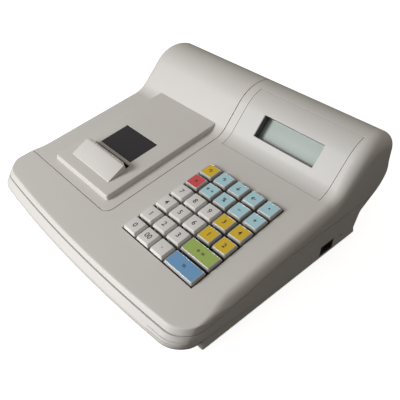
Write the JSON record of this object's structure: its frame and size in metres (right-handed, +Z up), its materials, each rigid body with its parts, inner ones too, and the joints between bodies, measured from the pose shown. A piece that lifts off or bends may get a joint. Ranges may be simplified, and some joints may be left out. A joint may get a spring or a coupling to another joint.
{
  "type": "ticket register",
  "caption": "Low desktop ticket register with a sloped keypad, a display in its rounded rear hump, and a ticket printer with paper roll under a hinged lid.",
  "frame": {"origin": "middle of the footprint, on the surface that the feet stand on", "axes": "+X to the right of the person at the keys, +Y away from that person, +Z up"},
  "size_m": [0.2956, 0.2808, 0.1056],
  "materials": {
    "casing": "light warm grey moulded plastic with a fine grain",
    "bezel": "the same plastic, slightly smoother",
    "key_white": "light grey key cap, satin",
    "key_yellow": "yellow insert under a clear cap",
    "key_pale": "pale blue insert under a clear cap",
    "key_red": "red insert under a clear cap",
    "key_green": "green insert under a clear cap",
    "key_blue": "blue insert under a clear cap",
    "black_plastic": "black moulded plastic",
    "tint": "dark tinted window, glossy",
    "lcd": "grey-green liquid crystal glass",
    "board": "green circuit board",
    "steel": "plain steel",
    "motor": "plated motor can",
    "rubber": "dark rubber",
    "gear": "natural acetal",
    "paper": "smooth thermal paper, wound"
  },
  "bodies": {
    "housing": {"base_housing": "casing", "upper_housing": "casing", "display_bezel": "bezel", "display_gasket": "black_plastic", "lcd_panel": "lcd", "display_board": "board", "key_frame": "black_plastic", "contact_sheet": "rubber", "keyboard_board": "board", "main_board": "board", "printer_chassis": "black_plastic", "print_head": "steel", "stepper_motor": "motor", "comms_socket": "black_plastic", "dc_jack": "black_plastic", "hinge_pin_left": "steel", "hinge_pin_right": "steel", "foot_front_left": "rubber", "screw_front_left": "steel", "foot_front_right": "rubber", "screw_front_right": "steel", "foot_rear_left": "rubber", "screw_rear_left": "steel", "foot_rear_right": "rubber", "screw_rear_right": "steel"},
    "lid": {"printer_lid": "casing", "lid_window": "tint", "tear_bar": "steel"},
    "platen": {"platen_roller": "rubber", "platen_gear": "gear"},
    "pinion": {"motor_pinion": "steel"},
    "paper": {"paper_roll": "paper"},
    "button_0": {"key_0": "key_white"},
    "button_00": {"key_00": "key_white"},
    "button_point": {"key_point": "key_white"},
    "button_total": {"key_total": "key_blue"},
    "button_1": {"key_1": "key_white"},
    "button_2": {"key_2": "key_white"},
    "button_3": {"key_3": "key_white"},
    "button_subtotal": {"key_subtotal": "key_green"},
    "button_4": {"key_4": "key_white"},
    "button_5": {"key_5": "key_white"},
    "button_6": {"key_6": "key_white"},
    "button_department_1": {"key_department_1": "key_yellow"},
    "button_department_2": {"key_department_2": "key_yellow"},
    "button_7": {"key_7": "key_white"},
    "button_8": {"key_8": "key_white"},
    "button_9": {"key_9": "key_white"},
    "button_department_3": {"key_department_3": "key_yellow"},
    "button_department_4": {"key_department_4": "key_yellow"},
    "button_clear": {"key_clear": "key_red"},
    "button_quantity": {"key_quantity": "key_pale"},
    "button_percent": {"key_percent": "key_pale"},
    "button_discount": {"key_discount": "key_pale"},
    "button_plus": {"key_plus": "key_pale"},
    "button_feed": {"key_feed": "key_yellow"},
    "button_up": {"key_up": "key_pale"},
    "button_down": {"key_down": "key_pale"},
    "button_left": {"key_left": "key_pale"},
    "button_mode": {"key_mode": "key_pale"}
  },
  "joints": [
    {"name": "lid_hinge", "type": "hinge", "parent": "housing", "child": "lid", "pos_m": [0, 0.13791, 0.07], "axis": [-1, 0, 0], "range_deg": [0, 75]},
    {"name": "platen_spin", "type": "hinge", "parent": "housing", "child": "platen", "pos_m": [-0.06475, -0.04359, 0.033], "axis": [1, 0, 0], "continuous": true},
    {"name": "pinion_spin", "type": "hinge", "parent": "housing", "child": "pinion", "pos_m": [-0.06475, -0.03256, 0.01986], "axis": [1, 0, 0], "continuous": true},
    {"name": "paper_spin", "type": "hinge", "parent": "housing", "child": "paper", "pos_m": [-0.06475, 0.09341, 0.057], "axis": [1, 0, 0], "continuous": true},
    {"name": "press_0", "type": "slide", "parent": "housing", "child": "button_0", "axis": [0, 0.165, -0.9863], "range_m": [0, 0.0035], "stiffness_N_per_m": 180, "springref_m": -0.002},
    {"name": "press_00", "type": "slide", "parent": "housing", "child": "button_00", "axis": [0, 0.165, -0.9863], "range_m": [0, 0.0035], "stiffness_N_per_m": 180, "springref_m": -0.002},
    {"name": "press_point", "type": "slide", "parent": "housing", "child": "button_point", "axis": [0, 0.165, -0.9863], "range_m": [0, 0.0035], "stiffness_N_per_m": 180, "springref_m": -0.002},
    {"name": "press_total", "type": "slide", "parent": "housing", "child": "button_total", "axis": [0, 0.165, -0.9863], "range_m": [0, 0.0035], "stiffness_N_per_m": 180, "springref_m": -0.002},
    {"name": "press_1", "type": "slide", "parent": "housing", "child": "button_1", "axis": [0, 0.165, -0.9863], "range_m": [0, 0.0035], "stiffness_N_per_m": 180, "springref_m": -0.002},
    {"name": "press_2", "type": "slide", "parent": "housing", "child": "button_2", "axis": [0, 0.165, -0.9863], "range_m": [0, 0.0035], "stiffness_N_per_m": 180, "springref_m": -0.002},
    {"name": "press_3", "type": "slide", "parent": "housing", "child": "button_3", "axis": [0, 0.165, -0.9863], "range_m": [0, 0.0035], "stiffness_N_per_m": 180, "springref_m": -0.002},
    {"name": "press_subtotal", "type": "slide", "parent": "housing", "child": "button_subtotal", "axis": [0, 0.165, -0.9863], "range_m": [0, 0.0035], "stiffness_N_per_m": 180, "springref_m": -0.002},
    {"name": "press_4", "type": "slide", "parent": "housing", "child": "button_4", "axis": [0, 0.165, -0.9863], "range_m": [0, 0.0035], "stiffness_N_per_m": 180, "springref_m": -0.002},
    {"name": "press_5", "type": "slide", "parent": "housing", "child": "button_5", "axis": [0, 0.165, -0.9863], "range_m": [0, 0.0035], "stiffness_N_per_m": 180, "springref_m": -0.002},
    {"name": "press_6", "type": "slide", "parent": "housing", "child": "button_6", "axis": [0, 0.165, -0.9863], "range_m": [0, 0.0035], "stiffness_N_per_m": 180, "springref_m": -0.002},
    {"name": "press_department_1", "type": "slide", "parent": "housing", "child": "button_department_1", "axis": [0, 0.165, -0.9863], "range_m": [0, 0.0035], "stiffness_N_per_m": 180, "springref_m": -0.002},
    {"name": "press_department_2", "type": "slide", "parent": "housing", "child": "button_department_2", "axis": [0, 0.165, -0.9863], "range_m": [0, 0.0035], "stiffness_N_per_m": 180, "springref_m": -0.002},
    {"name": "press_7", "type": "slide", "parent": "housing", "child": "button_7", "axis": [0, 0.165, -0.9863], "range_m": [0, 0.0035], "stiffness_N_per_m": 180, "springref_m": -0.002},
    {"name": "press_8", "type": "slide", "parent": "housing", "child": "button_8", "axis": [0, 0.165, -0.9863], "range_m": [0, 0.0035], "stiffness_N_per_m": 180, "springref_m": -0.002},
    {"name": "press_9", "type": "slide", "parent": "housing", "child": "button_9", "axis": [0, 0.165, -0.9863], "range_m": [0, 0.0035], "stiffness_N_per_m": 180, "springref_m": -0.002},
    {"name": "press_department_3", "type": "slide", "parent": "housing", "child": "button_department_3", "axis": [0, 0.165, -0.9863], "range_m": [0, 0.0035], "stiffness_N_per_m": 180, "springref_m": -0.002},
    {"name": "press_department_4", "type": "slide", "parent": "housing", "child": "button_department_4", "axis": [0, 0.165, -0.9863], "range_m": [0, 0.0035], "stiffness_N_per_m": 180, "springref_m": -0.002},
    {"name": "press_clear", "type": "slide", "parent": "housing", "child": "button_clear", "axis": [0, 0.165, -0.9863], "range_m": [0, 0.0035], "stiffness_N_per_m": 180, "springref_m": -0.002},
    {"name": "press_quantity", "type": "slide", "parent": "housing", "child": "button_quantity", "axis": [0, 0.165, -0.9863], "range_m": [0, 0.0035], "stiffness_N_per_m": 180, "springref_m": -0.002},
    {"name": "press_percent", "type": "slide", "parent": "housing", "child": "button_percent", "axis": [0, 0.165, -0.9863], "range_m": [0, 0.0035], "stiffness_N_per_m": 180, "springref_m": -0.002},
    {"name": "press_discount", "type": "slide", "parent": "housing", "child": "button_discount", "axis": [0, 0.165, -0.9863], "range_m": [0, 0.0035], "stiffness_N_per_m": 180, "springref_m": -0.002},
    {"name": "press_plus", "type": "slide", "parent": "housing", "child": "button_plus", "axis": [0, 0.165, -0.9863], "range_m": [0, 0.0035], "stiffness_N_per_m": 180, "springref_m": -0.002},
    {"name": "press_feed", "type": "slide", "parent": "housing", "child": "button_feed", "axis": [0, 0.165, -0.9863], "range_m": [0, 0.0035], "stiffness_N_per_m": 180, "springref_m": -0.002},
    {"name": "press_up", "type": "slide", "parent": "housing", "child": "button_up", "axis": [0, 0.165, -0.9863], "range_m": [0, 0.0035], "stiffness_N_per_m": 180, "springref_m": -0.002},
    {"name": "press_down", "type": "slide", "parent": "housing", "child": "button_down", "axis": [0, 0.165, -0.9863], "range_m": [0, 0.0035], "stiffness_N_per_m": 180, "springref_m": -0.002},
    {"name": "press_left", "type": "slide", "parent": "housing", "child": "button_left", "axis": [0, 0.165, -0.9863], "range_m": [0, 0.0035], "stiffness_N_per_m": 180, "springref_m": -0.002},
    {"name": "press_mode", "type": "slide", "parent": "housing", "child": "button_mode", "axis": [0, 0.165, -0.9863], "range_m": [0, 0.0035], "stiffness_N_per_m": 180, "springref_m": -0.002}
  ],
  "couplings": [
    {"joint": "pinion_spin", "follows": "platen_spin", "ratio": -3.2}
  ]
}
